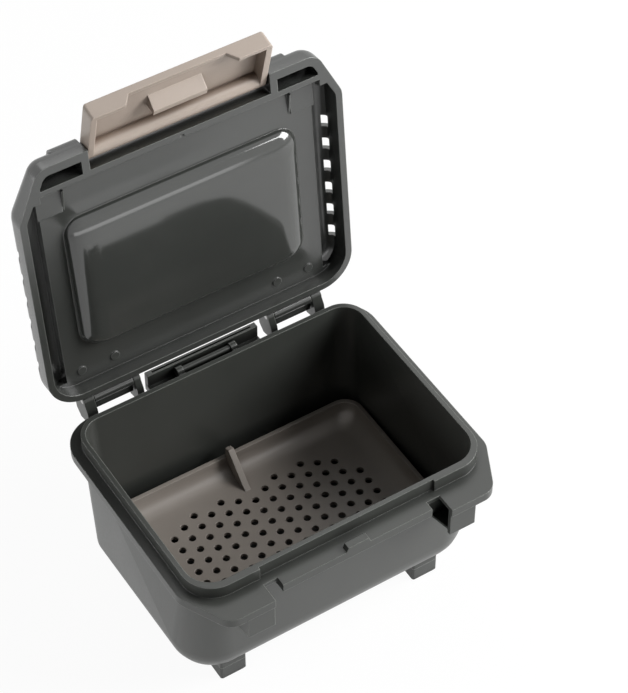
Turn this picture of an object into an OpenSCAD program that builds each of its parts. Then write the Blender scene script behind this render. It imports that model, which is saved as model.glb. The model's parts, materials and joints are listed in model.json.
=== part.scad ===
// Hand-sized two-tone plastic bait box: a tub on four feet, a hinged lid that stands open,
// a swinging latch on the lid's front and a perforated tray that lifts out of the tub.
// Millimetres. +X right, +Y to the rear, +Z up. Z = 0 is the plane that the feet stand on.
// Every piece is drawn as it lies in the box and then placed once, by placed().

/* [Tub] */
// outside width of the tub's lip
tub_width = 150; // [144:1:156]
// outside depth of the tub's lip
tub_depth = 112.2; // [108:1:118]
// height of the lip's top above the ground
tub_height = 88.6; // [84:1:96]
// wall of the tub
tub_wall = 2.3; // [1.8:0.1:2.6]
// floor of the tub
tub_floor = 2.5; // [2:0.1:3]
// how far each side wall leans in over its height
tub_side_lean = 2; // [1.5:0.1:3]
// how far the rear wall leans in
tub_rear_lean = 1.3; // [0.5:0.1:2]
// how far the front wall leans in
tub_front_lean = 4.2; // [3:0.1:6]
// plan corner radius at the lip's front
lip_front_radius = 15; // [13:0.5:17]
// plan corner radius at the lip's rear
lip_rear_radius = 12.5; // [11:0.5:14]
// plan corner radius at the bottom's front
base_front_radius = 21; // [20:0.5:23]
// plan corner radius at the bottom's rear
base_rear_radius = 13; // [11:0.5:15]
// rounding of the bottom edge at the sides and rear
base_edge_radius = 5; // [4:0.5:6]
// rounding of the bottom edge at the front, nearly a ball at its corners
base_front_edge = 19.9; // [17:0.1:19.9]

// how much wider than the lip the front of the base is, at each side
base_splay = 1.5; // [0.5:0.1:2.5]

/* [Lip and flange] */
// height of the lip above the flange
lip_height = 6.6; // [5:0.1:8]
// how far the lip's front stands proud beside the ledge
lip_step = 1.3; // [0.8:0.1:1.6]
// half width of the flush middle of the lip's front
lip_step_x = 45; // [42:0.5:50]
// plate of the flange
flange_thickness = 2.2; // [1.8:0.1:2.6]
// depth of the flange's turned-down edge
flange_drop = 4.7; // [4:0.1:5.5]
// thickness of the turned-down edge
flange_edge = 1.9; // [1.6:0.1:2.2]
// how far the flange reaches out from the lip at each side
flange_side = 5; // [4.5:0.1:6]
// how far it reaches out at the rear
flange_rear = 5.1; // [4.8:0.1:5.4]
// its rear corner radius
flange_rear_radius = 17; // [15:0.5:19]
// how far each front wing reaches out from the lip
wing_reach = 14.9; // [14:0.1:16]
// how far a wing's inner side stands in from the lip's side
wing_inner_in = 29.5; // [28.5:0.1:30]
// plan radius of a wing's front corner
wing_nose_radius = 8; // [7.5:0.1:8.5]
// width of the slanted part of a wing, from the flange's side to the nose's centre
wing_nose_in = 17; // [16:0.5:18]
// plan radius where the flange's side turns into the slant
wing_turn_radius = 9.7; // [9:0.1:10.5]
// depth of the slanted part, from the front to the turn's centre
wing_turn_back = 26; // [24:0.5:28]
// how far the latch ledge's end stands in from the lip's side
ledge_in = 36.5; // [35.6:0.1:38]
// how far the latch ledge reaches out from the lip
ledge_reach = 9.6; // [9:0.1:10.2]
// how far the flange reaches out between the wings
apron_reach = 4.9; // [4.4:0.1:5.4]
// half width of the centring tab on the ledge
tab_half = 6.2; // [5:0.1:8]
// depth of the tab
tab_depth = 3.4; // [2.6:0.1:4]
// height of the tab
tab_height = 2.6; // [2:0.1:2.7]
// bevel of the tab's sides
tab_bevel = 0.9; // [0.6:0.1:1.3]

/* [Strap shelf] */
// half width of the shelf behind the strap bar, at the flange
shelf_half = 30; // [28:0.5:33]
// half width at its far edge
shelf_far_half = 29.5; // [28:0.5:31]
// distance from the flange to the wall behind the bar
shelf_reach = 5.6; // [5.2:0.1:7]
// thickness of the shelf
shelf_plate = 4; // [2:0.1:4.4]
// thickness of the wall behind the bar
shelf_wall = 3; // [2.6:0.1:3.4]
// how far that wall rises above the flange's top
shelf_rise = 2.3; // [1.5:0.1:2.6]
// width of the groove along the wall's top
shelf_groove = 1; // [0.6:0.1:1.2]
// depth of that groove
shelf_groove_depth = 1.5; // [1:0.1:2]

/* [Wing skirts] */
// how far the outer edge of the skirt's front plate stands in from the lip's side
skirt_outer_in = 16.2; // [14:0.1:18]
// depth of the skirt below the flange's top at its front
skirt_front_drop = 17.4; // [14:0.1:20]
// depth of the skirt where it meets the tub
skirt_rear_drop = 23; // [20.5:0.1:25]
// plate thickness of the skirt
skirt_wall = 2; // [1.6:0.1:2.4]
// thickness of the skirt's floor
skirt_floor = 1.4; // [1.2:0.1:2]
// how far the skirt's floor stands back from its open side
skirt_floor_back = 1.2; // [0.8:0.1:2]
// how far the skirt's front stands back from the wing's front
skirt_inset = 0.8; // [0.5:0.1:1.2]

/* [Feet] */
// height of the pad
foot_pad_height = 8.4; // [7:0.1:9]
// height of the seat on the tub that carries the pad
foot_seat_height = 1.7; // [1.4:0.1:2.5]
// width of a foot
foot_width = 13.4; // [12:0.1:15]
// depth of a foot
foot_depth = 13; // [11:0.1:15]
// how far a foot's outer side stands in from the lip's side
foot_side_in = 16.1; // [15:0.1:19]
// how far the front feet's front face stands in from the lip's front
foot_front_in = 12.2; // [11.1:0.1:14.1]
// how far the rear feet's rear face stands in from the lip's rear
foot_rear_in = 7.1; // [6.1:0.1:10.1]
// how much a foot narrows on each side towards the ground
foot_taper = 0.4; // [0.2:0.1:0.8]
// height of the narrower lower end
foot_taper_height = 0.8; // [0.4:0.1:2]
// plan radius of a foot's corners
foot_round = 1.1; // [0.8:0.1:1.6]

/* [Hinge] */
// distance of the hinge line behind the flange's rear edge
hinge_back = 5.96; // [5.6:0.1:6.4]
// height of the hinge line above the flange's top
hinge_up = 5.6; // [5.2:0.1:6]
// outside radius of the ears and of the lid's barrels
hinge_radius = 2.9; // [2.6:0.1:3.1]
// radius of the hinge pins
hinge_pin_radius = 1.2; // [1:0.05:1.4]
// running clearance of the pins in the lid's barrels, per side
pin_clearance = 0.06; // [0.03:0.01:0.09]
// how far the inner face of an outer ear stands in from the lip's side
ear_gap_in = 16.8; // [16:0.1:19]
// distance between an outer ear and the inner ear beside it
ear_gap = 20.7; // [18.2:0.1:21.2]
// thickness of the inner ears
ear_inner_wall = 3.3; // [3:0.1:4]
// how far an ear's heel stands behind the hinge line
ear_rear = 6.6; // [5:0.1:7]
// depth of the heel's upper corner below the hinge line
ear_top = 4.9; // [4.2:0.1:5.2]
// height of the heel
ear_heel = 3.9; // [3:0.1:4.2]
// height of the heel's slanted underside
ear_slant = 3.2; // [2.6:0.1:3.6]
// how far forward that underside runs
ear_run = 3.6; // [3:0.1:4]
// how much the heel leans
ear_lean = 1; // [0.6:0.1:1.2]
// thickness of the outer ears
ear_outer_wall = 5.2; // [4:0.1:6]
// side clearance between an ear and a barrel
barrel_gap = 0.4; // [0.3:0.05:0.6]
// angle through which the lid stands open
lid_open = 96.1; // [94:0.1:98]

/* [Strap bar] */
// radius of the bar behind the flange
bar_radius = 1.6; // [1.3:0.1:1.7]
// half distance between the middles of the two bosses
bar_half = 14.3; // [12:0.1:18]
// width of each boss
boss_width = 3.2; // [2.8:0.1:4]
// outside radius of each boss
boss_radius = 2.4; // [2.2:0.1:2.6]
// distance of the bar behind the flange's rear edge
bar_back = 3; // [2.8:0.1:3.1]
// height of the bar above the middle of the flange's rear edge
bar_up = 2; // [1:0.1:2]

/* [Lid] */
// height of the lid from its rim to its top
lid_height = 14.5; // [13.4:0.1:16]
// how much lower the lid's top is at its front corners
nose_drop = 1.5; // [0.5:0.1:2.5]
// rounding of the lid's top edge
lid_edge_radius = 8; // [7:0.1:8]
// wall of the lid's skirt
lid_wall = 3.3; // [2.8:0.1:3.4]
// thickness of the lid's roof
lid_roof = 2.3; // [1.8:0.1:2.6]
// gap between the closed lid's rim and the flange
lid_gap = 0.3; // [0.25:0.05:0.5]
// height of the sunken panel's underside above the closed rim
panel_height = 7.2; // [6.7:0.1:7.4]
// half width of the sunken panel
panel_half = 69; // [67:0.1:70.5]
// distance of the beam's front face behind the wings' front
beam_back = 9.9; // [9.5:0.1:10.2]
// thickness of the beam
beam_wall = 3.3; // [2.8:0.1:3.4]
// size of the small notch in the middle of the beam's edge
beam_notch = 1.6; // [1.2:0.1:2]
// how far the inner face of a cheek that holds the latch stands in from the lip's side
cheek_in = 30.6; // [30:0.1:30.8]
// thickness of the cheeks
cheek_wall = 3.6; // [3:0.1:4]
// how far the outer end of a front pocket stands in from the lip's side
pocket_in = 6.7; // [6:0.1:9]
// front wall of the pockets
pocket_front = 3.8; // [3.2:0.1:4.2]
// wall behind the pockets
pocket_rear = 2.7; // [2:0.1:3]

// how far the outer end of a shoulder stands in from the lip's side
shoulder_in = 17.1; // [17:0.1:21]
// rounding of the shoulders' front top edge
shoulder_edge = 5.6; // [5:0.1:6.5]
// depth of the shoulders
shoulder_depth = 12; // [11:0.5:14]
// step that rounds the shoulders' outer end
shoulder_step = 0.8; // [0.5:0.1:1.2]

// how far the stop plate behind a barrel reaches out from the hinge line
stop_reach = 6.2; // [5:0.1:6.4]
// thickness of the stop plates
stop_plate = 2.6; // [2:0.1:3]

/* [Lid corner pads] */
// width and depth of the raised pad near each front corner
corner_pad = 12; // [9:0.5:12.5]
// how far a pad stands out
corner_pad_height = 0.6; // [0.3:0.1:0.6]
// distance of a pad behind the beam
corner_pad_back = 5.6; // [4.5:0.1:7]
// width of the gusset beside each pad
gusset_width = 1; // [0.8:0.1:1.2]
// height of the gusset
gusset_height = 2.4; // [1.5:0.1:3]
// radius of the round moulding marks near the lid's rear
mark_radius = 2.2; // [1.5:0.1:2.6]
// how far a mark stands out
mark_height = 0.6; // [0.3:0.1:0.9]
// distance of the inner marks from the middle
mark_near = 43; // [38:0.5:50]
// distance of the outer marks from the middle
mark_far = 60; // [55:0.5:63]
// distance of the marks from the lid's rear wall
mark_back = 7; // [6:0.5:9]

/* [Lid plateau] */
// how much thinner the plateau's wall is than the roof
plateau_ease = 0.3; // [0.2:0.05:0.5]
// half width of the raised middle at its foot
plateau_foot_half = 58.4; // [56:0.5:63]
// half width of its flat
plateau_flat_half = 48.5; // [44:0.5:52]
// front edge of its foot
plateau_foot_front = 34.5; // [30:0.5:37]
// front edge of its flat
plateau_flat_front = 22; // [18:0.5:26]
// rear edge of its foot
plateau_foot_rear = 38; // [35:0.5:44]
// rear edge of its flat
plateau_flat_rear = 34; // [30:0.5:34.5]
// steps of the plateau's bulging sides
plateau_steps = 5; // [3:1:6]
// how far it stands out of the panel
plateau_height = 5.8; // [4:0.1:6.2]
// corner radius of its foot
plateau_radius = 9; // [6:0.5:11]

/* [Vents] */
// number of windows in each side of the lid
vent_count = 6; // [4:1:6]
// width of a window
vent_width = 6.2; // [5.2:0.1:7.4]
// how far a window reaches in from the lid's side
vent_in = 5.2; // [4.6:0.1:6]
// height of its lower edge above the rim
vent_up = 8.7; // [8:0.1:9.4]
// how much lower the windows' outer edge is
vent_slant = 1.9; // [1.4:0.1:2.2]
// distance from window to window
vent_pitch = 12.8; // [12:0.1:13.4]
// place of the first window ahead of the middle
vent_first = 25.7; // [24:0.1:27]

/* [Latch] */
// how far the latch's end stands in from the lip's side
latch_in = 31.2; // [31:0.1:32.4]
// distance of the pivot behind the wings' front
latch_pivot_back = 4.6; // [4.5:0.05:4.8]
// height of the pivot above the closed rim
latch_pivot_up = 6.5; // [6.3:0.1:6.8]
// radius of the latch's barrel
latch_barrel = 3.8; // [3.5:0.05:4]
// distance of the latch's outer face from the pivot line
latch_out = 4.3; // [4.1:0.05:4.4]
// length from the pivot to the free end
latch_length = 28; // [25:0.1:28.5]
// thickness of its face plate
latch_plate = 2.2; // [1.8:0.1:2.6]
// thickness of its side walls
latch_side = 3; // [2.4:0.1:3.4]
// how far the side walls reach inward from the pivot line
latch_depth = 3.9; // [3.5:0.1:4.1]
// thickness of the end shelves
latch_shelf = 2; // [1.6:0.1:2.6]
// inner end of each corner shelf at its free edge
shelf_inner_x = 27.3; // [24:0.1:29]
// inner end of each corner shelf at the latch's outer face
shelf_face_x = 23.4; // [21:0.1:24]
// how far the end wall reaches inward between the corner shelves
shelf_depth = 1.1; // [0.8:0.1:2]
// half width of the catch
catch_half = 13; // [9:0.1:15]
// distance of the catch's ramp from the latch's end
catch_start = 9.2; // [7.5:0.1:10]
// length of the catch's ramp
catch_ramp = 4; // [3:0.1:4.5]
// clearance between the catch and the ledge while the latch swings
catch_clearance = 0.35; // [0.3:0.05:0.5]
// rounding of the latch's outer corners
latch_round = 1.8; // [1.2:0.1:2.4]
// angle through which the latch is swung out
latch_open = 70; // [60:1:75]
// radius of the latch pin
latch_pin_radius = 1.3; // [1.1:0.05:1.5]

/* [Tray] */
// clearance between the tray's rim and the tub's wall
tray_clearance = 1; // [0.6:0.1:1.4]
// free height under the tray's floor
tray_stand = 7; // [6:0.1:9]
// thickness of the tray
tray_wall = 2; // [1.6:0.1:2.4]
// height of the rim above the floor
tray_rim = 8.5; // [7:0.1:10]
// width of the sloping rim
tray_slope = 11.8; // [10:0.1:12.5]
// gap between the tray's rim and the tub's front wall
tray_front_clearance = 5.3; // [4.5:0.1:6.5]
// clearance of the rim at the rear wall
tray_rear_clearance = 5; // [4:0.1:6]
// radius of a hole
hole_radius = 1.8; // [1.4:0.1:2.1]
// plan radius of the dish's floor corners
tray_foot_radius = 4; // [3:0.1:5]
// columns of holes on each side of the middle
hole_columns = 7; // [5:1:7]
// rows of holes on each side of the middle, both staggered sets counted
hole_rows = 8; // [6:1:8]
// rows at the end columns
hole_end_rows = 4; // [2:1:4]
// distance between holes
hole_pitch = 7.36; // [6.8:0.01:7.4]
// thickness of the finger fin
fin_thickness = 3; // [2.4:0.1:3.6]
// height of the fin above the rim
fin_height = 6.6; // [5:0.1:8]
// length of the fin's foot on the tray's floor
fin_foot = 20; // [17:0.5:21]
// length of the steep part of the fin's front edge
fin_toe = 5; // [4:0.1:7]
// height of the fin at the end of its toe
fin_toe_height = 3.6; // [2.5:0.1:5]
// depth of the fin's top
fin_top = 3; // [2:0.1:4]
// radius of the tray's legs
leg_radius = 1.4; // [1.1:0.1:1.8]
// distance of the legs from the middle, in holes along the tray
leg_columns = 5.5; // [3.5:1:5.5]
// distance of the legs from the middle, in holes across the tray
leg_rows = 3.5; // [2.5:1:3.5]
// gap under the legs
leg_gap = 0.3; // [0.2:0.05:0.4]

// steps of the tray's curved sides
dish_steps = 4; // [3:1:6]

/* [Hidden] */

// smallest overlap that makes a cut go right through
cut = 1;
// facets of round outlines
fine = 64;
// facets of small round outlines
medium = 32;
// distance from the middle of the footprint to the middle of the open box
centre_shift = 9.713;

grey = [0.33, 0.34, 0.32];
dark = [0.25, 0.25, 0.24];
beige = [0.74, 0.69, 0.63];
tan = [0.56, 0.53, 0.49];
steel = [0.55, 0.56, 0.57];

half_width = tub_width / 2;
half_depth = tub_depth / 2;
wing_inner_x = half_width - wing_inner_in;
ledge_half = half_width - ledge_in;
skirt_outer_x = half_width - skirt_outer_in;
foot_outer_x = half_width - foot_side_in;
foot_front_y = half_depth - foot_front_in;
foot_rear_y = half_depth - foot_rear_in;
ear_gap_outer = half_width - ear_gap_in;
cheek_x = half_width - cheek_in;
latch_half = half_width - latch_in;
pocket_end = half_width - pocket_in;
shoulder_end = half_width - shoulder_in;
ear_gap_inner = ear_gap_outer - ear_gap;
foot_height = foot_pad_height + foot_seat_height;
flange_top = tub_height - lip_height;
flange_low = flange_top - flange_drop;
floor_top = foot_height + tub_floor;
flange_half = half_width + flange_side;
flange_back = half_depth + flange_rear;
wing_front = -half_depth - wing_reach;
nose_x = flange_half - wing_nose_in;
nose_y = wing_front + wing_nose_radius;
turn_x = flange_half - wing_turn_radius;
turn_y = wing_front + wing_turn_back;
slant_run = norm([turn_x - nose_x, turn_y - nose_y]);
slant_angle = atan2(turn_y - nose_y, turn_x - nose_x)
    - acos((wing_nose_radius - wing_turn_radius) / slant_run);
ledge_front = -half_depth - ledge_reach;
apron_front = -half_depth - apron_reach;
base_half = half_width - tub_side_lean;
base_rear = half_depth - tub_rear_lean;
base_front = -half_depth + tub_front_lean;
lean_height = tub_height - foot_height;

hinge_y = flange_back + hinge_back;
hinge_z = flange_top + hinge_up;
bar_y = flange_back + bar_back;
bar_z = flange_low + flange_drop / 2 + bar_up;

lid_rim = flange_top + lid_gap;
lid_top = lid_rim + lid_height;
panel_low = lid_rim + panel_height;
panel_top = panel_low + lid_roof;
beam_front = wing_front + beam_back;
beam_rear = beam_front + beam_wall;
lid_inner_rear = flange_back - lid_wall;
plateau_low = panel_low - plateau_height;
plateau_shift = lid_roof + plateau_ease;

pivot_y = wing_front + latch_pivot_back;
pivot_z = lid_rim + latch_pivot_up;
latch_face = pivot_y - latch_out;
latch_end = pivot_z - latch_length;
latch_inner = pivot_y + latch_depth;
catch_top = pivot_z - catch_clearance
    - norm([ledge_front + flange_edge - pivot_y, pivot_z - flange_low]);

tray_bottom = floor_top + tray_stand;
tray_top = tray_bottom + tray_rim + tray_wall;
tray_share = (tub_height - tray_top) / lean_height;
tray_half = half_width - tub_wall - tub_side_lean * tray_share - tray_clearance;
tray_front = -half_depth + tub_wall + tub_front_lean * tray_share + tray_front_clearance;
tray_rear = half_depth - tub_wall - tub_rear_lean * tray_share - tray_rear_clearance;
tray_front_radius = base_front_radius - tub_wall - tray_clearance;
tray_rear_radius = base_rear_radius - tub_wall - tray_clearance;

// ---------- outlines ----------

// a rectangle from front to rear with its own front and rear corner radii
module tub_outline(half, front, rear, front_radius, rear_radius) {
    translate([-half, front + front_radius])
        square([2 * half, rear - rear_radius - front - front_radius]);
    translate([-(half - front_radius), front])
        square([2 * (half - front_radius), front_radius + cut]);
    translate([-(half - rear_radius), rear - rear_radius - cut])
        square([2 * (half - rear_radius), rear_radius + cut]);
    for (side = [-1, 1]) {
        translate([side * (half - front_radius), front + front_radius])
            circle(front_radius, $fn = fine);
        translate([side * (half - rear_radius), rear - rear_radius])
            circle(rear_radius, $fn = fine);
    }
}

// the lip's outline, which stands proud beside the ledge
module lip_outline() {
    tub_outline(half_width, -half_depth, half_depth, lip_front_radius, lip_rear_radius);
    intersection() {
        tub_outline(half_width, -half_depth - lip_step, half_depth, lip_front_radius, lip_rear_radius);
        for (side = [-1, 1])
            translate([side * (lip_step_x + half_width) / 2, -half_depth])
                square([half_width - lip_step_x, half_depth], center = true);
    }
}

// right half of a wing, drawn in by inset
module wing_outline(inset) {
    nose = wing_nose_radius - inset;
    turn = wing_turn_radius - inset;
    c = cos(slant_angle);
    s = sin(slant_angle);
    translate([nose_x, nose_y])
        circle(nose, $fn = fine);
    translate([turn_x, turn_y])
        circle(turn, $fn = fine);
    polygon([
        [nose_x + nose * c, nose_y + nose * s],
        [turn_x + turn * c, turn_y + turn * s],
        [turn_x + turn, turn_y],
        [turn_x, turn_y + turn],
        [0, turn_y + turn],
        [0, nose_y],
        [nose_x, nose_y]
    ]);
}

// outline shared by the flange, its wings and the closed lid's rim, drawn in by inset
module rim_outline(inset) {
    rear = flange_rear_radius - inset;
    for (side = [0, 1])
        mirror([side, 0])
            wing_outline(inset);
    translate([-nose_x, wing_front + inset])
        square([2 * nose_x, wing_reach]);
    translate([-(flange_half - inset), turn_y])
        square([2 * (flange_half - inset), flange_back - flange_rear_radius - turn_y]);
    translate([-(flange_half - flange_rear_radius), 0])
        square([2 * (flange_half - flange_rear_radius), flange_back - inset]);
    for (side = [-1, 1])
        translate([side * (flange_half - flange_rear_radius), flange_back - flange_rear_radius])
            circle(rear, $fn = fine);
}

// the flange's outline: wings at both sides, the apron and the latch ledge between them
module flange_outline(inset) {
    difference() {
        rim_outline(inset);
        translate([-(wing_inner_x + inset), wing_front - cut])
            square([2 * (wing_inner_x + inset), apron_front + inset - wing_front + cut]);
    }
    translate([-(ledge_half - inset), ledge_front + inset])
        square([2 * (ledge_half - inset), ledge_reach]);
}

// ---------- solids of revolution ----------

// a disc whose lower edge is rounded
module bowl_puck(radius, edge, height) {
    rotate_extrude($fn = fine) {
        square([radius - edge, height]);
        translate([0, edge])
            square([radius, height - edge]);
        translate([radius - edge, edge])
            intersection() {
                circle(edge, $fn = medium);
                translate([0, -edge])
                    square(edge);
            }
    }
}

// a disc whose upper edge is rounded
module dome_puck(radius, edge, height) {
    translate([0, 0, height])
        mirror([0, 0, 1])
            bowl_puck(radius, edge, height);
}

// the tub's leaning body, drawn in by inset, from bottom to top
module tub_body(inset, bottom, top, edge, front_edge) {
    low = (tub_height - bottom) / lean_height;
    high = (tub_height - top) / lean_height;
    hull() {
        for (side = [-1, 1]) {
            translate([side * (half_width + base_splay * low - base_front_radius),
                    -half_depth + tub_front_lean * low + base_front_radius, bottom])
                bowl_puck(base_front_radius - inset, front_edge, front_edge + cut);
            translate([side * (half_width - tub_side_lean * low - base_rear_radius),
                    half_depth - tub_rear_lean * low - base_rear_radius, bottom])
                bowl_puck(base_rear_radius - inset, edge, edge + cut);
            translate([side * (half_width - tub_side_lean * high - lip_front_radius),
                    -half_depth + tub_front_lean * high + lip_front_radius, top - cut])
                cylinder(cut, r = lip_front_radius - inset, $fn = fine);
            translate([side * (half_width - tub_side_lean * high - lip_rear_radius),
                    half_depth - tub_rear_lean * high - lip_rear_radius, top - cut])
                cylinder(cut, r = lip_rear_radius - inset, $fn = fine);
        }
    }
}

// the closed lid's outer shape, drawn in by inset
module lid_block(inset, bottom) {
    top = lid_top - inset;
    edge = lid_edge_radius - inset;
    tall = top - bottom;
    hull() {
        for (side = [-1, 1]) {
            translate([side * nose_x, nose_y, bottom])
                dome_puck(wing_nose_radius - inset + cut / 2, edge, tall - nose_drop);
            translate([side * turn_x, turn_y, bottom])
                dome_puck(wing_turn_radius - inset, edge, tall);
            translate([side * (flange_half - flange_rear_radius), flange_back - flange_rear_radius, bottom])
                dome_puck(flange_rear_radius - inset, edge, tall);
        }
    }
}

// ---------- tub ----------

module flange() {
    translate([0, 0, flange_top - flange_thickness])
        linear_extrude(flange_thickness)
            flange_outline(0);
    translate([0, 0, flange_low])
        linear_extrude(flange_drop)
            difference() {
                flange_outline(0);
                flange_outline(flange_edge);
                for (side = [0, 1])
                    mirror([side, 0])
                        translate([ledge_half + cut / 10, wing_front + skirt_inset + skirt_wall])
                            square([skirt_outer_x - skirt_wall - ledge_half, wing_reach]);
            }
    translate([0, 0, flange_low])
        linear_extrude(tub_height - flange_low)
            lip_outline();
}

// bevelled tab that centres the closed lid
module tab() {
    translate([0, ledge_front + tab_depth, flange_top - cut])
        rotate([90, 0, 0])
            linear_extrude(tab_depth)
                polygon([
                    [-tab_half, 0],
                    [tab_half, 0],
                    [tab_half, cut],
                    [tab_half - tab_bevel, tab_height + cut],
                    [-(tab_half - tab_bevel), tab_height + cut],
                    [-tab_half, cut]
                ]);
}

// hanging pocket under the right wing, open towards the latch
module wing_skirt() {
    front = wing_front + skirt_inset;
    back = -half_depth + tub_wall;
    slope = (skirt_rear_drop - skirt_front_drop) / (back - front);
    low_front = flange_top - skirt_front_drop;
    low_back = flange_top - skirt_rear_drop;
    width = skirt_outer_x - wing_inner_x;
    translate([wing_inner_x, front, low_front - slope * skirt_wall])
        cube([width, skirt_wall, skirt_front_drop + slope * skirt_wall - flange_thickness / 2]);
    translate([skirt_outer_x - skirt_wall, 0, 0])
        rotate([90, 0, 90])
            linear_extrude(skirt_wall)
                polygon([
                    [front, flange_top - flange_thickness / 2],
                    [front, low_front],
                    [back, low_back],
                    [back, flange_top - flange_thickness / 2]
                ]);
    translate([wing_inner_x + skirt_floor_back, 0, 0])
        rotate([90, 0, 90])
            linear_extrude(width - skirt_floor_back)
                polygon([
                    [front, low_front],
                    [back, low_back],
                    [back, low_back + skirt_floor],
                    [front, low_front + skirt_floor]
                ]);
}

// ear in the Y-Z plane that carries a hinge pin
module ear(inner, wall) {
    heel_z = hinge_z - ear_top - ear_heel;
    turn = acos(hinge_radius / norm([ear_rear, ear_top])) - atan2(ear_top, ear_rear);
    translate([inner, 0, 0])
        rotate([90, 0, 90])
            linear_extrude(wall)
                polygon([
                    [half_depth, flange_top - flange_thickness],
                    [flange_back, flange_low],
                    [hinge_y + ear_rear - ear_lean - ear_run, heel_z - ear_slant],
                    [hinge_y + ear_rear - ear_lean, heel_z],
                    [hinge_y + ear_rear, hinge_z - ear_top],
                    [hinge_y + hinge_radius * cos(turn), hinge_z + hinge_radius * sin(turn)],
                    [hinge_y - hinge_radius, hinge_z],
                    [flange_back + lid_gap + cut / 2, flange_top + flange_thickness],
                    [flange_back + lid_gap, flange_top],
                    [half_depth, flange_top]
                ]);
    translate([inner, hinge_y, hinge_z])
        rotate([0, 90, 0])
            cylinder(wall, r = hinge_radius, $fn = fine);
}

// shelf under the strap bar and the grooved wall behind it
module strap_shelf() {
    wall_y = flange_back + shelf_reach;
    wall_z = flange_low - shelf_plate;
    translate([0, 0, wall_z])
        linear_extrude(shelf_plate)
            polygon([
                [-shelf_half, flange_back - flange_edge],
                [shelf_half, flange_back - flange_edge],
                [shelf_half, flange_back],
                [shelf_far_half, wall_y + shelf_wall],
                [-shelf_far_half, wall_y + shelf_wall],
                [-shelf_half, flange_back]
            ]);
    translate([-shelf_half, flange_back - flange_edge, wall_z])
        cube([2 * shelf_half, flange_edge, shelf_plate + cut]);
    difference() {
        translate([-shelf_far_half, wall_y, wall_z])
            cube([2 * shelf_far_half, shelf_wall, flange_top + shelf_rise - wall_z]);
        translate([shelf_wall - shelf_far_half, wall_y + (shelf_wall - shelf_groove) / 2,
                flange_top + shelf_rise - shelf_groove_depth])
            cube([2 * (shelf_far_half - shelf_wall), shelf_groove, shelf_groove_depth + cut]);
    }
}

// boss that holds one end of the strap bar
module bar_boss(x) {
    translate([x - boss_width / 2, bar_y, bar_z])
        rotate([0, 90, 0])
            cylinder(boss_width, r = boss_radius, $fn = fine);
    translate([x - boss_width / 2, flange_back - flange_edge, bar_z - boss_radius])
        cube([boss_width, bar_back + flange_edge, flange_top - bar_z + boss_radius]);
}

// raised seat under the tub for one foot pad
module foot_seat(side, end) {
    translate([side * (foot_outer_x - foot_width / 2), end, foot_pad_height])
        foot_block(foot_seat_height + base_front_edge, 0);
}

// rounded block of a foot, from its lower face up, narrowed by taper at its lower face
module foot_block(height, inset) {
    round = foot_round;
    translate([-foot_width / 2 + inset + round, -foot_depth / 2 + inset, 0])
        cube([foot_width - 2 * inset - 2 * round, foot_depth - 2 * inset, height]);
    translate([-foot_width / 2 + inset, -foot_depth / 2 + inset + round, 0])
        cube([foot_width - 2 * inset, foot_depth - 2 * inset - 2 * round, height]);
    for (x = [-1, 1], y = [-1, 1])
        translate([x * (foot_width / 2 - inset - round), y * (foot_depth / 2 - inset - round), 0])
            cylinder(height, r = round, $fn = medium);
}

foot_middle_front = -foot_front_y + foot_depth / 2;
foot_middle_rear = foot_rear_y - foot_depth / 2;

module body_tub() {
    color(grey)
    difference() {
        union() {
            tub_body(0, foot_height, flange_top, base_edge_radius, base_front_edge);
            flange();
            tab();
            strap_shelf();
            for (side = [0, 1])
                mirror([side, 0, 0]) {
                    wing_skirt();
                    ear(ear_gap_outer, ear_outer_wall);
                    ear(ear_gap_inner - ear_inner_wall, ear_inner_wall);
                    bar_boss(bar_half);
                }
            for (side = [-1, 1]) {
                foot_seat(side, foot_middle_front);
                foot_seat(side, foot_middle_rear);
            }
        }
        tub_body(tub_wall, floor_top, tub_height + cut, base_edge_radius - tub_wall,
            base_front_edge - tub_wall);
        for (side = [0, 1])
            mirror([side, 0, 0]) {
                translate([ear_gap_inner - ear_inner_wall - cut, hinge_y, hinge_z])
                    rotate([0, 90, 0])
                        cylinder(ear_gap_outer - ear_gap_inner + ear_inner_wall + ear_outer_wall + 2 * cut,
                            r = hinge_pin_radius, $fn = fine);
            }
        translate([-bar_half - boss_width, bar_y, bar_z])
            rotate([0, 90, 0])
                cylinder(2 * (bar_half + boss_width), r = bar_radius, $fn = fine);
    }
}

// ---------- feet ----------

module foot(side, end) {
    color(dark)
    translate([side * (foot_outer_x - foot_width / 2), end, 0]) {
        foot_block(foot_taper_height, foot_taper);
        translate([0, 0, foot_taper_height])
            foot_block(foot_pad_height - foot_taper_height, 0);
    }
}

module foot_front_left() {
    foot(-1, foot_middle_front);
}

module foot_front_right() {
    foot(1, foot_middle_front);
}

module foot_rear_left() {
    foot(-1, foot_middle_rear);
}

module foot_rear_right() {
    foot(1, foot_middle_rear);
}

// ---------- lid ----------

// turns what is drawn on the closed box into the lid's open place
module opened() {
    translate([0, hinge_y, hinge_z])
        rotate([-lid_open, 0, 0])
            translate([0, -hinge_y, -hinge_z])
                children();
}

// plateau between two heights, its sides bulging from the foot to the flat
module plateau(low, high) {
    hull() {
        for (side = [-1, 1], step = [0 : plateau_steps]) {
            turn = 90 * step / plateau_steps;
            out = cos(turn);
            z = high - (high - low) * sin(turn);
            r = plateau_radius * (1 + out) / 2;
            half = plateau_flat_half + (plateau_foot_half - plateau_flat_half) * out;
            front = plateau_flat_front + (plateau_foot_front - plateau_flat_front) * out;
            rear = plateau_flat_rear + (plateau_foot_rear - plateau_flat_rear) * out;
            translate([side * (half - r), r - front, z])
                cylinder(cut, r = r, $fn = medium);
            translate([side * (half - r), rear - r, z])
                cylinder(cut, r = r, $fn = medium);
        }
    }
}

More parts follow.
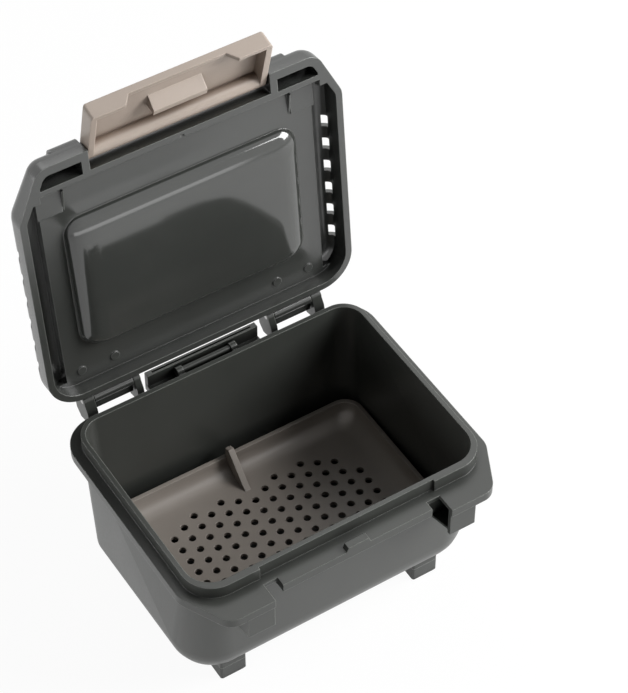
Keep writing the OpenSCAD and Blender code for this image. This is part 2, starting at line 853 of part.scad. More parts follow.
// the room inside the lid: low over the panel, high in the side channels
module lid_room() {
    intersection() {
        lid_block(lid_roof, lid_rim - cut);
        translate([0, 0, lid_rim - cut])
            linear_extrude(lid_height)
                rim_outline(lid_wall);
        union() {
            translate([-panel_half, beam_rear, lid_rim - cut])
                cube([2 * panel_half, lid_inner_rear - beam_rear, panel_height + cut]);
            translate([-half_width, lid_inner_rear - 2 * lid_wall, lid_rim - cut])
                cube([tub_width, 2 * lid_wall, panel_height + cut]);
            for (side = [0, 1])
                mirror([side, 0, 0])
                    translate([panel_half - cut, beam_rear + lid_wall, lid_rim - cut])
                        cube([half_width, lid_inner_rear - beam_rear - 2 * lid_wall, lid_height]);
        }
    }
}

// the room above the sunken panel, seen from outside
module lid_dish() {
    translate([-(panel_half - lid_roof), beam_rear - lid_roof / 2, panel_top])
        cube([2 * (panel_half - lid_roof), lid_inner_rear - beam_rear + lid_roof / 2, lid_height]);
}

// front pocket between the skirt and the beam
module lid_pocket() {
    intersection() {
        lid_block(lid_roof, lid_rim - cut);
        translate([0, 0, lid_rim - cut])
            linear_extrude(lid_height)
                rim_outline(pocket_front);
        translate([cheek_x + cheek_wall, wing_front, lid_rim - cut])
            cube([pocket_end - cheek_x - cheek_wall, beam_rear - pocket_rear - wing_front, lid_height]);
    }
}

// barrel between two ears and the web that joins it to the lid's rear wall
module lid_barrel() {
    inner = ear_gap_inner + barrel_gap;
    width = ear_gap_outer - ear_gap_inner - 2 * barrel_gap;
    translate([inner, hinge_y, hinge_z])
        rotate([0, 90, 0])
            cylinder(width, r = hinge_radius, $fn = fine);
    translate([inner, lid_inner_rear + cut, hinge_z])
        cube([width, hinge_y - lid_inner_rear - cut, hinge_radius]);
    translate([inner, hinge_y, hinge_z - stop_plate / 2])
        cube([width, stop_reach, stop_plate]);
}

// windows cut through the lid's side edges
module vents() {
    for (side = [0, 1], index = [0 : vent_count - 1])
        mirror([side, 0, 0])
            translate([flange_half, -vent_first + index * vent_pitch + vent_width / 2, lid_rim + vent_up])
                rotate([90, 0, 0])
                    linear_extrude(vent_width)
                        polygon([
                            [-vent_in, 0],
                            [-lid_wall, 0],
                            [0, -vent_slant],
                            [cut, -vent_slant],
                            [cut, lid_height],
                            [-vent_in, lid_height]
                        ]);
}

// one slice of a shoulder, from the cheek to the given end
module shoulder_slice(end, drop) {
    translate([cheek_x, 0, 0])
        rotate([90, 0, 90])
            linear_extrude(end - cheek_x)
                translate([wing_front + drop, lid_top - drop]) {
                    translate([shoulder_edge, -shoulder_edge])
                        circle(shoulder_edge, $fn = fine);
                    translate([shoulder_edge, -shoulder_depth])
                        square([shoulder_depth - shoulder_edge, shoulder_depth]);
                    translate([0, -shoulder_depth])
                        square([shoulder_depth, shoulder_depth - shoulder_edge]);
                }
}

// raised shoulder of the roof beside the latch
module lid_shoulder() {
    intersection() {
        union() {
            shoulder_slice(shoulder_end, shoulder_step);
            shoulder_slice(shoulder_end - shoulder_step, 0);
        }
        translate([0, wing_front, lid_rim])
            cube([half_width, shoulder_depth, lid_height]);
    }
}

// raised pad and small gusset near the right front corner of the lid
module corner_detail() {
    front = beam_rear + corner_pad_back;
    left = panel_half - corner_pad;
    translate([left, front, panel_low - corner_pad_height])
        cube([corner_pad, corner_pad, corner_pad_height + cut]);
    translate([left - gusset_width, 0, 0])
        rotate([90, 0, 90])
            linear_extrude(gusset_width)
                polygon([
                    [front, panel_low - gusset_height],
                    [front, panel_low + cut],
                    [front + corner_pad, panel_low + cut],
                    [front + corner_pad, panel_low]
                ]);
}

module lid_closed() {
    difference() {
        union() {
            difference() {
                union() {
                    lid_block(0, lid_rim);
                    for (side = [0, 1])
                        mirror([side, 0, 0])
                            lid_shoulder();
                }
                lid_room();
                lid_dish();
                for (side = [0, 1])
                    mirror([side, 0, 0])
                        lid_pocket();
                translate([-cheek_x, wing_front - cut, lid_rim - cut])
                    cube([2 * cheek_x, beam_back + cut, lid_height + 2 * cut]);
            }
            difference() {
                plateau(plateau_low, panel_low);
                translate([-half_width, -half_depth, panel_top])
                    cube([tub_width, tub_depth, lid_height]);
            }
            for (side = [0, 1])
                mirror([side, 0, 0]) {
                    lid_barrel();
                    corner_detail();
                    for (x = [mark_near, mark_far])
                        translate([x, lid_inner_rear - mark_back, panel_low - mark_height])
                            cylinder(mark_height + cut, r = mark_radius, $fn = medium);
                }
        }
        plateau(plateau_low + plateau_shift, panel_top);
        vents();
        for (side = [0, 1])
            mirror([side, 0, 0]) {
                translate([ear_gap_inner, hinge_y, hinge_z])
                    rotate([0, 90, 0])
                        cylinder(ear_gap_outer - ear_gap_inner, r = hinge_pin_radius + pin_clearance,
                            $fn = fine);
                translate([cheek_x - cut, pivot_y, pivot_z])
                    rotate([0, 90, 0])
                        cylinder(cheek_wall + 2 * cut, r = latch_pin_radius, $fn = fine);
            }
        translate([-beam_notch / 2, beam_rear - beam_notch, lid_rim - cut])
            cube([beam_notch, beam_notch + cut, beam_notch + cut]);
    }
}

module lid() {
    color(grey)
    opened()
        lid_closed();
}

// ---------- latch ----------

// turns the latch from hanging down to swung out
module swung() {
    translate([0, pivot_y, pivot_z])
        rotate([-latch_open, 0, 0])
            translate([0, -pivot_y, -pivot_z])
                children();
}

// corner shelf of the latch's end, its inner end slanted
module latch_shelf_corner() {
    translate([0, 0, latch_end])
        linear_extrude(latch_shelf)
            polygon([
                [shelf_face_x, latch_face],
                [latch_half, latch_face],
                [latch_half, latch_inner],
                [shelf_inner_x, latch_inner],
                [shelf_face_x, latch_face + latch_plate + shelf_depth]
            ]);
}

// outer faces of the latch with its rounded corners
module latch_envelope() {
    tall = latch_length + latch_out;
    intersection() {
        translate([0, latch_inner, 0])
            rotate([90, 0, 0])
                linear_extrude(latch_inner - latch_face)
                    rounded(latch_half, latch_end, latch_end + tall, latch_round);
        translate([0, 0, latch_end])
            linear_extrude(tall)
                rounded(latch_half, latch_face, latch_inner + latch_round, latch_round);
    }
}

// a rectangle with two rounded corners at its low edge
module rounded(half, low, high, radius) {
    translate([-half, low + radius])
        square([2 * half, high - low - radius]);
    translate([-(half - radius), low])
        square([2 * (half - radius), high - low]);
    for (side = [-1, 1])
        translate([side * (half - radius), low + radius])
            circle(radius, $fn = fine);
}

module latch_closed() {
    difference() {
        union() {
            translate([-latch_half, pivot_y, pivot_z])
                rotate([0, 90, 0])
                    cylinder(2 * latch_half, r = latch_barrel, $fn = fine);
            intersection() {
                latch_envelope();
                union() {
                    translate([-latch_half, latch_face, latch_end])
                        cube([2 * latch_half, latch_plate, latch_length]);
                    translate([-latch_half, latch_face, latch_end])
                        cube([2 * latch_half, latch_plate + shelf_depth, latch_shelf]);
                    for (side = [0, 1])
                        mirror([side, 0, 0]) {
                            translate([latch_half - latch_side, latch_face, latch_end])
                                cube([latch_side, latch_inner - latch_face, latch_length]);
                            latch_shelf_corner();
                        }
                }
            }
            translate([-catch_half, 0, 0])
                rotate([90, 0, 90])
                    linear_extrude(2 * catch_half)
                        polygon([
                            [latch_face + latch_plate / 2, latch_end + catch_start],
                            [latch_face + latch_plate, latch_end + catch_start],
                            [latch_inner, latch_end + catch_start + catch_ramp],
                            [latch_inner, catch_top],
                            [latch_face + latch_plate / 2, catch_top]
                        ]);
        }
        translate([-latch_half - cut, pivot_y, pivot_z])
            rotate([0, 90, 0])
                cylinder(2 * (latch_half + cut), r = latch_pin_radius + pin_clearance, $fn = fine);
    }
}

module latch_flap() {
    color(beige)
    opened()
        swung()
            latch_closed();
}

module latch_pin() {
    color(steel)
    opened()
        translate([-(cheek_x + cheek_wall), pivot_y, pivot_z])
            rotate([0, 90, 0])
                cylinder(2 * (cheek_x + cheek_wall), r = latch_pin_radius, $fn = fine);
}

// ---------- hinge pins and strap bar ----------

module hinge_pin(side) {
    color(steel)
    mirror([side, 0, 0])
        translate([ear_gap_inner - ear_inner_wall, hinge_y, hinge_z])
            rotate([0, 90, 0])
                cylinder(ear_gap_outer - ear_gap_inner + ear_inner_wall + ear_outer_wall,
                    r = hinge_pin_radius, $fn = fine);
}

module hinge_pin_left() {
    hinge_pin(1);
}

module hinge_pin_right() {
    hinge_pin(0);
}

module strap_bar() {
    color(grey)
    translate([-bar_half - boss_width / 2, bar_y, bar_z])
        rotate([0, 90, 0])
            cylinder(2 * bar_half + boss_width, r = bar_radius, $fn = fine);
}

// ---------- tray ----------

// bowl between two heights, drawn in by inset: steep at its rim and flat towards its floor
module tray_dish(low, high, inset) {
    hull() {
        for (side = [-1, 1], step = [0 : dish_steps]) {
            turn = 90 * step / dish_steps;
            inward = inset + (tray_slope - inset) * (1 - cos(turn));
            z = high - (high - low) * sin(turn);
            front_r = tray_foot_radius + (tray_front_radius - inset - tray_foot_radius) * cos(turn);
            rear_r = tray_foot_radius + (tray_rear_radius - inset - tray_foot_radius) * cos(turn);
            translate([side * (tray_half - inward - front_r), tray_front + inward + front_r, z])
                cylinder(cut / 10, r = front_r, $fn = fine);
            translate([side * (tray_half - inward - rear_r), tray_rear - inward - rear_r, z])
                cylinder(cut / 10, r = rear_r, $fn = fine);
        }
    }
}

// staggered round holes of the tray's floor
module tray_holes() {
    for (column = [-hole_columns : hole_columns], row = [-hole_rows : hole_rows]) {
        odd = abs(column) % 2;
        corner = abs(column) == hole_columns - 1 && abs(row) == hole_rows;
        short_end = abs(column) == hole_columns && abs(row) > hole_end_rows;
        under_fin = column == 0 && row == hole_rows;
        if (abs(row) % 2 == odd && !corner && !short_end && !under_fin)
            translate([column * hole_pitch, row * hole_pitch / 2, tray_bottom - cut])
                cylinder(tray_wall + 2 * cut, r = hole_radius, $fn = medium);
    }
}

module bait_tray() {
    color(tan)
    union() {
        difference() {
            tray_dish(tray_bottom, tray_top - cut / 10, 0);
            tray_dish(tray_bottom + tray_wall, tray_top, tray_wall);
            tray_holes();
        }
        for (x = [-1, 1], y = [-1, 1])
            translate([x * leg_columns * hole_pitch, y * leg_rows * hole_pitch, floor_top + leg_gap])
                cylinder(tray_bottom - floor_top - leg_gap + tray_wall / 2, r = leg_radius, $fn = medium);
        translate([-fin_thickness / 2, 0, 0])
            rotate([90, 0, 90])
                linear_extrude(fin_thickness)
                    polygon([
                        [tray_rear - fin_foot, tray_bottom + tray_wall / 2],
                        [tray_rear - fin_foot + fin_toe, tray_bottom + tray_wall + fin_toe_height],
                        [tray_rear - fin_top - cut, tray_top + fin_height],
                        [tray_rear - cut, tray_top + fin_height - cut],
                        [tray_rear - cut / 2, tray_top - cut],
                        [tray_rear - tray_slope, tray_bottom + tray_wall / 2]
                    ]);
    }
}

// ---------- placing ----------

// moves a piece from the footprint's middle to the middle of the whole open box
module placed() {
    translate([0, -centre_shift, 0])
        children();
}

placed() body_tub();
placed() foot_front_left();
placed() foot_front_right();
placed() foot_rear_left();
placed() foot_rear_right();
placed() lid();
placed() latch_flap();
placed() bait_tray();
placed() hinge_pin_left();
placed() hinge_pin_right();
placed() latch_pin();
placed() strap_bar();
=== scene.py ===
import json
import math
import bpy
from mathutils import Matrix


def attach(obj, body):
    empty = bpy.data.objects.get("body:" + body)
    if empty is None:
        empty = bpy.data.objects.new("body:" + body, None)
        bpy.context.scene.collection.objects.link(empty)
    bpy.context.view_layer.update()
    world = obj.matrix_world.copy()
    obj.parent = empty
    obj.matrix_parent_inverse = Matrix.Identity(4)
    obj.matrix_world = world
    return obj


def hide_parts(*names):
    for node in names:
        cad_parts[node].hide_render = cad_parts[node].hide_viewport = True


bl_info = {
    "name": "Live bait box",
    "version": (1, 0, 0),
    "blender": (4, 5, 0),
    "location": "View3D > Sidebar > Bait box",
    "description": "Finishes and studio of a two-tone plastic live bait box",
    "category": "Add Mesh",
}

import bpy
from mathutils import Matrix, Vector

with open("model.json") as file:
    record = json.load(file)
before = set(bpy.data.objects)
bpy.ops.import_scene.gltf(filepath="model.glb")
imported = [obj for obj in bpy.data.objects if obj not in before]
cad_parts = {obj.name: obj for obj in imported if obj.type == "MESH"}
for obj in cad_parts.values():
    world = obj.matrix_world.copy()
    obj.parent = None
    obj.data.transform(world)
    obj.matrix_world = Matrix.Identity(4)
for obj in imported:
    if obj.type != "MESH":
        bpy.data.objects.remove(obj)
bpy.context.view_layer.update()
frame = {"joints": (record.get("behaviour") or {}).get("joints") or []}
MM = 0.001
WHITE = (1.0, 1.0, 1.0)

# mouldings: faces that meet below this angle shade as one, and vertices nearer
# than this distance are merged
SMOOTH_BELOW = math.radians(34.0)
MERGE_BELOW = 0.001 * MM

# refraction index of each plastic, which says how strongly it mirrors
PLAIN_GLOSS = 1.5
TUB_GLOSS = 1.47
LID_GLOSS = 1.75

# rays that one sample sends out to find edges and creases
LOOK_RAYS = 4
# how far an edge bends, and how open a spot is, from no effect to all of it: the bands over which
# highlights are painted onto open sharp edges and shade is painted into creases
EDGE_HIGHLIGHT_BAND = (0.0, 0.15)
CREASE_SHADE_BAND = (0.1, 0.85)
OPEN_BAND = (0.5, 0.8)

# noises: their mean, the bands of flow shades and scratches, the scale of the
# grain, and how far each one changes the roughness
NOISE_MEAN = 0.5
FLOW_BAND = (0.35, 0.65)
SCRATCH_BAND = (0.62, 0.75)
GRAIN_SCALE = 900.0
FLOW_ROUGH = 0.10
GRAIN_ROUGH = 0.08
SCRATCH_ROUGH = 0.05

# how far the lid stands open in the frame
LID_OPEN = math.radians(96.1)
LID_EDGE = 0.5 * MM
LID_GRAIN = 0.0015 * MM
LID_MOTTLE = 0.06
LID_ROUGH = 0.24
LID_UNEVEN = 0.03
# how much smoother the lid's polish is
POLISH = 0.16
# bands over which the lid's polish sets in: out from its middle, and along it
# from the hinge at its far and near end
POLISH_SIDE = (64.0 * MM, 58.0 * MM)
POLISH_FAR = (-112.0 * MM, -106.0 * MM)
POLISH_NEAR = (-20.0 * MM, -26.0 * MM)

# the pins' steel, and how much darker and rougher its rings are
STEEL_EDGE = 0.15 * MM
STEEL_GRAIN = 0.01 * MM
STEEL_ROUGH = 0.28
RING_SHADE = 0.8
RING_ROUGH = 0.15

FLOOR_SIZE = 12.0
PAPER = (0.9, 0.9, 0.9)
# strength of the ground in the object's shine, and the share of its light that
# no shadow takes away
GROUND_SHINE = 0.75
GROUND_GLOW = 0.95

# the point that the lamps face, and the size and place of each
AIM = (0.0, 0.0, 0.1)
LAMPS = {
    "side": ((0.85, 0.85), (0.98, -0.5, 0.78)),
    "front": ((1.6, 0.3), (-0.1, -1.5, 0.17)),
    "left": ((1.4, 0.3), (-1.4, 0.5, 0.25)),
    "back": ((1.2, 0.8), (0.25, 0.8, 1.15)),
}

# the camera's turn to the right from the Y axis, and its slope down from level
CAMERA_PLACE = Vector((-0.36639, -0.617903, 0.93301))
CAMERA_TURN = math.radians(32.33)
CAMERA_SLOPE = math.radians(47.81)
SENSOR_WIDTH = 36.0


# ---------------------------------------------------------------- shader tools


class Wire:
    """A node socket that can be used in Python arithmetic."""

    def __init__(self, sheet, socket):
        self.sheet = sheet
        self.socket = socket

    def _maths(self, operation, *values):
        return self.sheet.node("ShaderNodeMath", {"operation": operation}, dict(enumerate(values)))

    def __add__(self, other):
        return self._maths("ADD", self, other)

    def __radd__(self, other):
        return self._maths("ADD", other, self)

    def __sub__(self, other):
        return self._maths("SUBTRACT", self, other)

    def __rsub__(self, other):
        return self._maths("SUBTRACT", other, self)

    def __mul__(self, other):
        return self._maths("MULTIPLY", self, other)

    def __rmul__(self, other):
        return self._maths("MULTIPLY", other, self)

    def __abs__(self):
        return self._maths("ABSOLUTE", self)

    def higher(self, other):
        return self._maths("MAXIMUM", self, other)

    def between(self, start, end):
        """0 up to start and 1 from end on, smooth in between; end may be the lower one."""
        settings = {"interpolation_type": "SMOOTHSTEP", "clamp": True}
        inputs = {"Value": self, "From Min": start, "From Max": end}
        return self.sheet.node("ShaderNodeMapRange", settings, inputs)


class Finish:
    """A new material or world and the one method that makes all its nodes."""

    def __init__(self, name, library=bpy.data.materials):
        self.material = library.new(name)
        self.material.use_nodes = True
        self.tree = self.material.node_tree
        self.tree.nodes.clear()
        self.place = self.node("ShaderNodeTexCoord", output="Object")
        axes = self.node("ShaderNodeSeparateXYZ", inputs={"Vector": self.place}, output=None)
        self.x, self.y, self.z = (Wire(self, axes.outputs[i]) for i in range(3))

    def node(self, kind, settings=None, inputs=None, output=0):
        """A new node's output as a Wire, or the node itself if output is None."""
        made = self.tree.nodes.new(kind)
        for key, value in (settings or {}).items():
            setattr(made, key, value)
        for key, value in (inputs or {}).items():
            socket = made.inputs[key]
            if isinstance(value, Wire):
                self.tree.links.new(value.socket, socket)
            elif socket.type == "RGBA" and len(value) == 3:
                socket.default_value = (*value, 1.0)
            else:
                socket.default_value = value
        if output is None:
            return made
        return Wire(self, made.outputs[output])

    def noise(self, scale, detail=2.0, roughness=0.5, stretch=None):
        """Noise that stays with the piece; a larger stretch makes it shorter along that axis."""
        place = self.place
        if stretch:
            place = self.node("ShaderNodeMapping", inputs={"Vector": place, "Scale": stretch})
        inputs = {"Vector": place, "Scale": scale, "Detail": detail, "Roughness": roughness}
        return self.node("ShaderNodeTexNoise", inputs=inputs)

    def mix(self, factor, first, second):
        """Two colours mixed, through the mix node's own sockets for colours."""
        inputs = {0: factor, 6: first, 7: second}
        return self.node("ShaderNodeMix", {"data_type": "RGBA"}, inputs, output=2)

    def shades(self, flow, colour, spread):
        """The colour, darker and lighter by spread where the flow is low and high."""
        darker = tuple(c * (1.0 - spread) for c in colour)
        lighter = tuple(min(1.0, c * (1.0 + spread)) for c in colour)
        return self.mix(flow.between(*FLOW_BAND), darker, lighter)

    def rounded(self, edge):
        return self.node("ShaderNodeBevel", {"samples": LOOK_RAYS}, {"Radius": edge})

    def paint_edge_light_and_crease_shade(self, shade, colour, edge, lift=4.0, reach=9.0 * MM):
        """Paints highlights onto the sharp outer edges of a moulding and painted shade into its
        deep creases.
        """
        straight = self.node("ShaderNodeNewGeometry", output="Normal")
        turned = {0: self.rounded(edge), 1: straight}
        settings = {"operation": "DOT_PRODUCT"}
        bend = 1.0 - self.node("ShaderNodeVectorMath", settings, turned, output="Value")
        around = {"Distance": reach}
        settings = {"samples": LOOK_RAYS}
        clear = self.node("ShaderNodeAmbientOcclusion", settings, around, output="AO")
        # colours of the painted crease shade (the colour squared) and of the painted edge highlight
        # (the colour made lighter)
        deep = tuple(c * c for c in colour)
        light = tuple(min(1.0, c * lift) for c in colour)
        shade = self.mix(clear.between(*CREASE_SHADE_BAND), deep, shade)
        return self.mix(bend.between(*EDGE_HIGHLIGHT_BAND) * clear.between(*OPEN_BAND), shade, light)

    def clear_rays(self, mirrored=1.0):
        """1 for rays that come straight or through a clear piece, mirrored for those in a shine."""
        rays = self.node("ShaderNodeLightPath", output=None)
        names = ("Is Camera Ray", "Is Glossy Ray", "Is Transmission Ray")
        camera, glossy, through = (Wire(self, rays.outputs[name]) for name in names)
        return camera.higher(through).higher(glossy * mirrored)

    def end(self, shader, kind="ShaderNodeOutputMaterial"):
        self.node(kind, inputs={"Surface": shader}, output=None)
        return self.material

    def close(self, colour, roughness, height, depth, edge, gloss=PLAIN_GLOSS, metallic=0.0):
        """Ends the material with bumps of this depth, and edges rounded to the radius edge."""
        bump = {"Height": height, "Distance": depth, "Strength": 1.0, "Normal": self.rounded(edge)}
        inputs = {
            "Base Color": colour,
            "Roughness": roughness,
            "Metallic": metallic,
            "IOR": gloss,
            "Normal": self.node("ShaderNodeBump", inputs=bump),
        }
        return self.end(self.node("ShaderNodeBsdfPrincipled", inputs=inputs))


def dress(piece, material):
    piece.data.materials.clear()
    piece.data.materials.append(material)


def smoothed(node, name, body):
    """A merged copy of a moulded node whose rounded corners are shaded without facets."""
    bpy.ops.object.select_all(action="DESELECT")
    source = bpy.data.objects[node]
    source.select_set(True)
    bpy.context.view_layer.objects.active = source
    bpy.ops.object.duplicate()
    piece = bpy.context.object
    piece.name = name
    bpy.ops.mesh.customdata_custom_splitnormals_clear()
    bpy.ops.object.mode_set(mode="EDIT")
    bpy.ops.mesh.select_all(action="SELECT")
    bpy.ops.mesh.remove_doubles(threshold=MERGE_BELOW)
    bpy.ops.object.mode_set(mode="OBJECT")
    bpy.ops.object.shade_smooth_by_angle(angle=SMOOTH_BELOW)
    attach(piece, body)
    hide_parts(node)
    return piece


# ------------------------------------------------------------------- finishes


def moulded(name, colour, edge, rough, grain, mottle, gloss=PLAIN_GLOSS, **painted_light):
    """Injection-moulded plastic: faint flow shades, fine scratches and grain, with highlights
    painted onto its sharp edges and shade painted into its creases.
    """
    f = Finish(name)
    flow = f.noise(scale=22.0, detail=3.0, roughness=0.55, stretch=(1.0, 1.6, 0.7))
    fine = f.noise(GRAIN_SCALE)
    lines = f.noise(scale=140.0, detail=4.0, roughness=0.7, stretch=(1.0, 1.0, 6.0))
    scratches = lines.between(*SCRATCH_BAND)
    uneven = rough + (flow - NOISE_MEAN) * FLOW_ROUGH + (fine - NOISE_MEAN) * GRAIN_ROUGH
    roughness = uneven + scratches * SCRATCH_ROUGH
    # painted highlights on the sharp edges and painted shade in the creases
    shade = f.paint_edge_light_and_crease_shade(f.shades(flow, colour, mottle), colour, edge, **painted_light)
    return f.close(shade, roughness, fine, grain, edge, gloss)


def lid_finish(name, colour, pivot):
    """The body plastic, polished inside the lid's raised middle."""
    f = Finish(name)
    flow = f.noise(scale=18.0, detail=3.0, roughness=0.55)
    fine = f.noise(GRAIN_SCALE)
    along = (f.y - pivot[1]) * math.cos(LID_OPEN) + (f.z - pivot[2]) * -math.sin(LID_OPEN)
    middle = abs(f.x).between(*POLISH_SIDE)
    polish = middle * along.between(*POLISH_FAR) * along.between(*POLISH_NEAR)
    uneven = (flow - NOISE_MEAN) * LID_UNEVEN + (fine - NOISE_MEAN) * LID_UNEVEN
    roughness = LID_ROUGH - polish * POLISH + uneven
    # painted highlights on the sharp edges and painted shade in the creases
    shade = f.paint_edge_light_and_crease_shade(f.shades(flow, colour, LID_MOTTLE), colour, LID_EDGE)
    return f.close(shade, roughness, fine, LID_GRAIN, LID_EDGE, LID_GLOSS)


def steel(name, colour):
    """Turned steel with fine rings around the X axis."""
    f = Finish(name)
    rings = f.noise(scale=60.0, detail=3.0, roughness=0.6, stretch=(30.0, 1.0, 1.0))
    shade = f.mix(rings, tuple(c * RING_SHADE for c in colour), colour)
    roughness = STEEL_ROUGH + rings * RING_ROUGH
    return f.close(shade, roughness, rings, STEEL_GRAIN, STEEL_EDGE, metallic=1.0)


# ------------------------------------------------------------------- settings


class BaitBoxLooks(bpy.types.PropertyGroup):
    body: bpy.props.FloatVectorProperty(
        name="Body", description="Colour of the tub's plastic",
        subtype="COLOR", size=3, min=0.0, max=1.0, default=(0.042, 0.0445, 0.0405))
    lid: bpy.props.FloatVectorProperty(
        name="Lid", description="Colour of the lid's plastic",
        subtype="COLOR", size=3, min=0.0, max=1.0, default=(0.039, 0.041, 0.038))
    feet: bpy.props.FloatVectorProperty(
        name="Feet", description="Colour of the feet",
        subtype="COLOR", size=3, min=0.0, max=1.0, default=(0.062, 0.065, 0.062))
    latch: bpy.props.FloatVectorProperty(
        name="Latch", description="Colour of the latch flap",
        subtype="COLOR", size=3, min=0.0, max=1.0, default=(0.37, 0.31, 0.265))
    tray: bpy.props.FloatVectorProperty(
        name="Tray", description="Colour of the lift-out tray",
        subtype="COLOR", size=3, min=0.0, max=1.0, default=(0.236, 0.210, 0.186))
    pins: bpy.props.FloatVectorProperty(
        name="Pins", description="Colour of the steel pins",
        subtype="COLOR", size=3, min=0.0, max=1.0, default=(0.55, 0.55, 0.54))
    edge: bpy.props.FloatProperty(
        name="Edge radius", description="Radius at which moulded edges look rounded",
        subtype="DISTANCE", unit="LENGTH", min=0.0001, max=0.002, default=0.0006)


class BaitBoxStudio(bpy.types.PropertyGroup):
    side: bpy.props.FloatProperty(
        name="Side lamp", description="Power of the soft lamp above the right",
        unit="POWER", min=0.0, max=200.0, default=29.0)
    front: bpy.props.FloatProperty(
        name="Front lamp", description="Power of the long low lamp in front",
        unit="POWER", min=0.0, max=200.0, default=2.5)
    left: bpy.props.FloatProperty(
        name="Left lamp", description="Power of the long low lamp on the left",
        unit="POWER", min=0.0, max=200.0, default=8.0)
    back: bpy.props.FloatProperty(
        name="Back lamp", description="Power of the faint wide lamp above and behind",
        unit="POWER", min=0.0, max=200.0, default=4.5)
    sky: bpy.props.FloatProperty(
        name="Room light", description="Strength of the even light all around",
        min=0.0, max=2.0, default=0.10)
    lens: bpy.props.FloatProperty(
        name="Lens", description="Focal length in millimetres",
        unit="CAMERA", min=20.0, max=300.0, default=141.69)


# ------------------------------------------------------------------ operators


class BAITBOX_OT_tub(bpy.types.Operator):
    """Finish the tub and the strap bar between its bosses"""
    bl_idname = "baitbox.tub"
    bl_label = "Tub"

    def execute(self, context):
        looks = context.scene.baitbox_looks
        plastic = moulded(
            "tub_plastic", tuple(looks.body), looks.edge,
            rough=0.32, grain=0.002 * MM, mottle=0.06, gloss=TUB_GLOSS)
        dress(smoothed("body_tub", "tub_moulding", "tub"), plastic)
        dress(bpy.data.objects["strap_bar"], plastic)
        return {"FINISHED"}


class BAITBOX_OT_feet(bpy.types.Operator):
    """Finish the four feet"""
    bl_idname = "baitbox.feet"
    bl_label = "Feet"

    def execute(self, context):
        looks = context.scene.baitbox_looks
        plastic = moulded(
            "foot_plastic", tuple(looks.feet), looks.edge,
            rough=0.55, grain=0.06 * MM, mottle=0.14, gloss=TUB_GLOSS)
        for end in ("front", "rear"):
            for side in ("left", "right"):
                dress(bpy.data.objects[f"foot_{end}_{side}"], plastic)
        return {"FINISHED"}


class BAITBOX_OT_lid(bpy.types.Operator):
    """Finish the lid"""
    bl_idname = "baitbox.lid"
    bl_label = "Lid"

    def execute(self, context):
        looks = context.scene.baitbox_looks
        pivot = next(joint["pos_m"] for joint in frame["joints"] if joint["name"] == "lid_hinge")
        plastic = lid_finish("lid_plastic", tuple(looks.lid), pivot)
        dress(smoothed("lid", "lid_moulding", "lid"), plastic)
        return {"FINISHED"}


class BAITBOX_OT_latch(bpy.types.Operator):
    """Finish the latch flap"""
    bl_idname = "baitbox.latch"
    bl_label = "Latch"

    def execute(self, context):
        looks = context.scene.baitbox_looks
        # the painted shade reaches far into the flap's recesses, and the painted edge highlights
        # are faint
        plastic = moulded(
            "latch_plastic", tuple(looks.latch), looks.edge,
            rough=0.36, grain=0.003 * MM, mottle=0.03, lift=1.5, reach=40.0 * MM)
        dress(smoothed("latch_flap", "latch_moulding", "latch"), plastic)
        return {"FINISHED"}


class BAITBOX_OT_tray(bpy.types.Operator):
    """Finish the perforated tray"""
    bl_idname = "baitbox.tray"
    bl_label = "Tray"

    def execute(self, context):
        looks = context.scene.baitbox_looks
        # faint painted edge highlights, with painted shade in the creases
        plastic = moulded(
            "tray_plastic", tuple(looks.tray), looks.edge,
            rough=0.36, grain=0.003 * MM, mottle=0.04, lift=1.3)
        dress(smoothed("bait_tray", "tray_moulding", "tray"), plastic)
        return {"FINISHED"}


class BAITBOX_OT_pins(bpy.types.Operator):
    """Finish the three steel pins"""
    bl_idname = "baitbox.pins"
    bl_label = "Pins"

    def execute(self, context):
        looks = context.scene.baitbox_looks
        metal = steel("pin_steel", tuple(looks.pins))
        for node in ("hinge_pin_left", "hinge_pin_right", "latch_pin"):
            dress(bpy.data.objects[node], metal)
        return {"FINISHED"}


def soft_lamp(name, power, size, place):
    bpy.ops.object.select_all(action="DESELECT")
    bpy.ops.object.light_add(type="AREA", location=place)
    lamp = bpy.context.object
    lamp.name = name
    lamp.data.shape = "RECTANGLE"
    lamp.data.size, lamp.data.size_y = size
    lamp.data.energy = power
    away = Vector(place) - Vector(AIM)
    lamp.rotation_euler = away.to_track_quat("Z", "Y").to_euler()


def white_paper(name):
    """A ground that looks white with a faint shadow, and bounces light as paper does."""
    f = Finish(name)
    paper = f.node("ShaderNodeBsdfDiffuse", inputs={"Color": PAPER})
    glow = f.node("ShaderNodeEmission", inputs={"Color": WHITE, "Strength": 1.0})
    seen = f.clear_rays(GROUND_SHINE) * GROUND_GLOW
    return f.end(f.node("ShaderNodeMixShader", inputs={0: seen, 1: paper, 2: glow}))


def white_room(name, sky):
    """Even light all around, and plain white where it is seen."""
    f = Finish(name, bpy.data.worlds)
    light = f.node("ShaderNodeBackground", inputs={"Color": WHITE, "Strength": sky})
    seen = f.node("ShaderNodeBackground", inputs={"Color": WHITE, "Strength": 1.0})
    mixed = f.node("ShaderNodeMixShader", inputs={0: f.clear_rays(), 1: light, 2: seen})
    return f.end(mixed, "ShaderNodeOutputWorld")


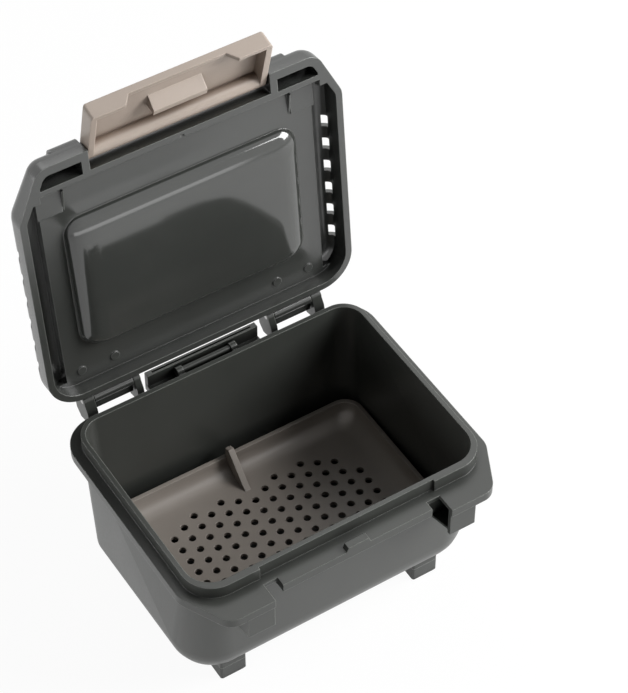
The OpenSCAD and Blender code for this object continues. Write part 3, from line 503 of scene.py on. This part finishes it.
class BAITBOX_OT_stage(bpy.types.Operator):
    """Floor, lamps, room light and camera"""
    bl_idname = "baitbox.stage"
    bl_label = "Studio"

    def execute(self, context):
        studio = context.scene.baitbox_studio
        bpy.ops.object.select_all(action="DESELECT")
        bpy.ops.mesh.primitive_plane_add(size=FLOOR_SIZE, location=(0.0, 0.0, 0.0))
        floor = context.object
        floor.name = "floor"
        floor.data.materials.append(white_paper("white_paper"))

        for key, (size, place) in LAMPS.items():
            soft_lamp(f"{key}_lamp", getattr(studio, key), size, place)
        context.scene.world = white_room("room", studio.sky)

        right = Vector((math.cos(CAMERA_TURN), -math.sin(CAMERA_TURN), 0.0))
        level = Vector((math.sin(CAMERA_TURN), math.cos(CAMERA_TURN), 0.0))
        ahead = level * math.cos(CAMERA_SLOPE) - Vector((0.0, 0.0, math.sin(CAMERA_SLOPE)))
        above = right.cross(ahead)
        turned = Matrix((right, above, -ahead)).transposed().to_4x4()
        bpy.ops.object.camera_add()
        camera = context.object
        camera.name = "camera"
        camera.matrix_world = Matrix.Translation(CAMERA_PLACE) @ turned
        camera.data.lens = studio.lens
        camera.data.sensor_fit = "HORIZONTAL"
        camera.data.sensor_width = SENSOR_WIDTH
        context.scene.camera = camera
        context.scene.view_settings.view_transform = "Standard"
        return {"FINISHED"}


PIECES = (
    BAITBOX_OT_tub,
    BAITBOX_OT_feet,
    BAITBOX_OT_lid,
    BAITBOX_OT_latch,
    BAITBOX_OT_tray,
    BAITBOX_OT_pins,
    BAITBOX_OT_stage,
)


class BAITBOX_PT_panel(bpy.types.Panel):
    """Colours, lamps and building steps of the bait box"""
    bl_idname = "BAITBOX_PT_panel"
    bl_label = "Bait box"
    bl_space_type = "VIEW_3D"
    bl_region_type = "UI"
    bl_category = "Bait box"

    def draw(self, context):
        layout = self.layout
        looks = context.scene.baitbox_looks
        studio = context.scene.baitbox_studio
        for key in ("body", "lid", "feet", "latch", "tray", "pins", "edge"):
            layout.prop(looks, key)
        for key in ("side", "front", "left", "back", "sky", "lens"):
            layout.prop(studio, key)
        for piece in PIECES:
            layout.operator(piece.bl_idname)


CLASSES = (BaitBoxLooks, BaitBoxStudio, *PIECES, BAITBOX_PT_panel)


def register():
    for item in CLASSES:
        bpy.utils.register_class(item)
    bpy.types.Scene.baitbox_looks = bpy.props.PointerProperty(type=BaitBoxLooks)
    bpy.types.Scene.baitbox_studio = bpy.props.PointerProperty(type=BaitBoxStudio)


def unregister():
    del bpy.types.Scene.baitbox_studio
    del bpy.types.Scene.baitbox_looks
    for item in reversed(CLASSES):
        bpy.utils.unregister_class(item)


def main():
    register()
    for piece in PIECES:
        group, name = piece.bl_idname.split(".")
        getattr(getattr(bpy.ops, group), name)()


if __name__ == "__main__":
    main()
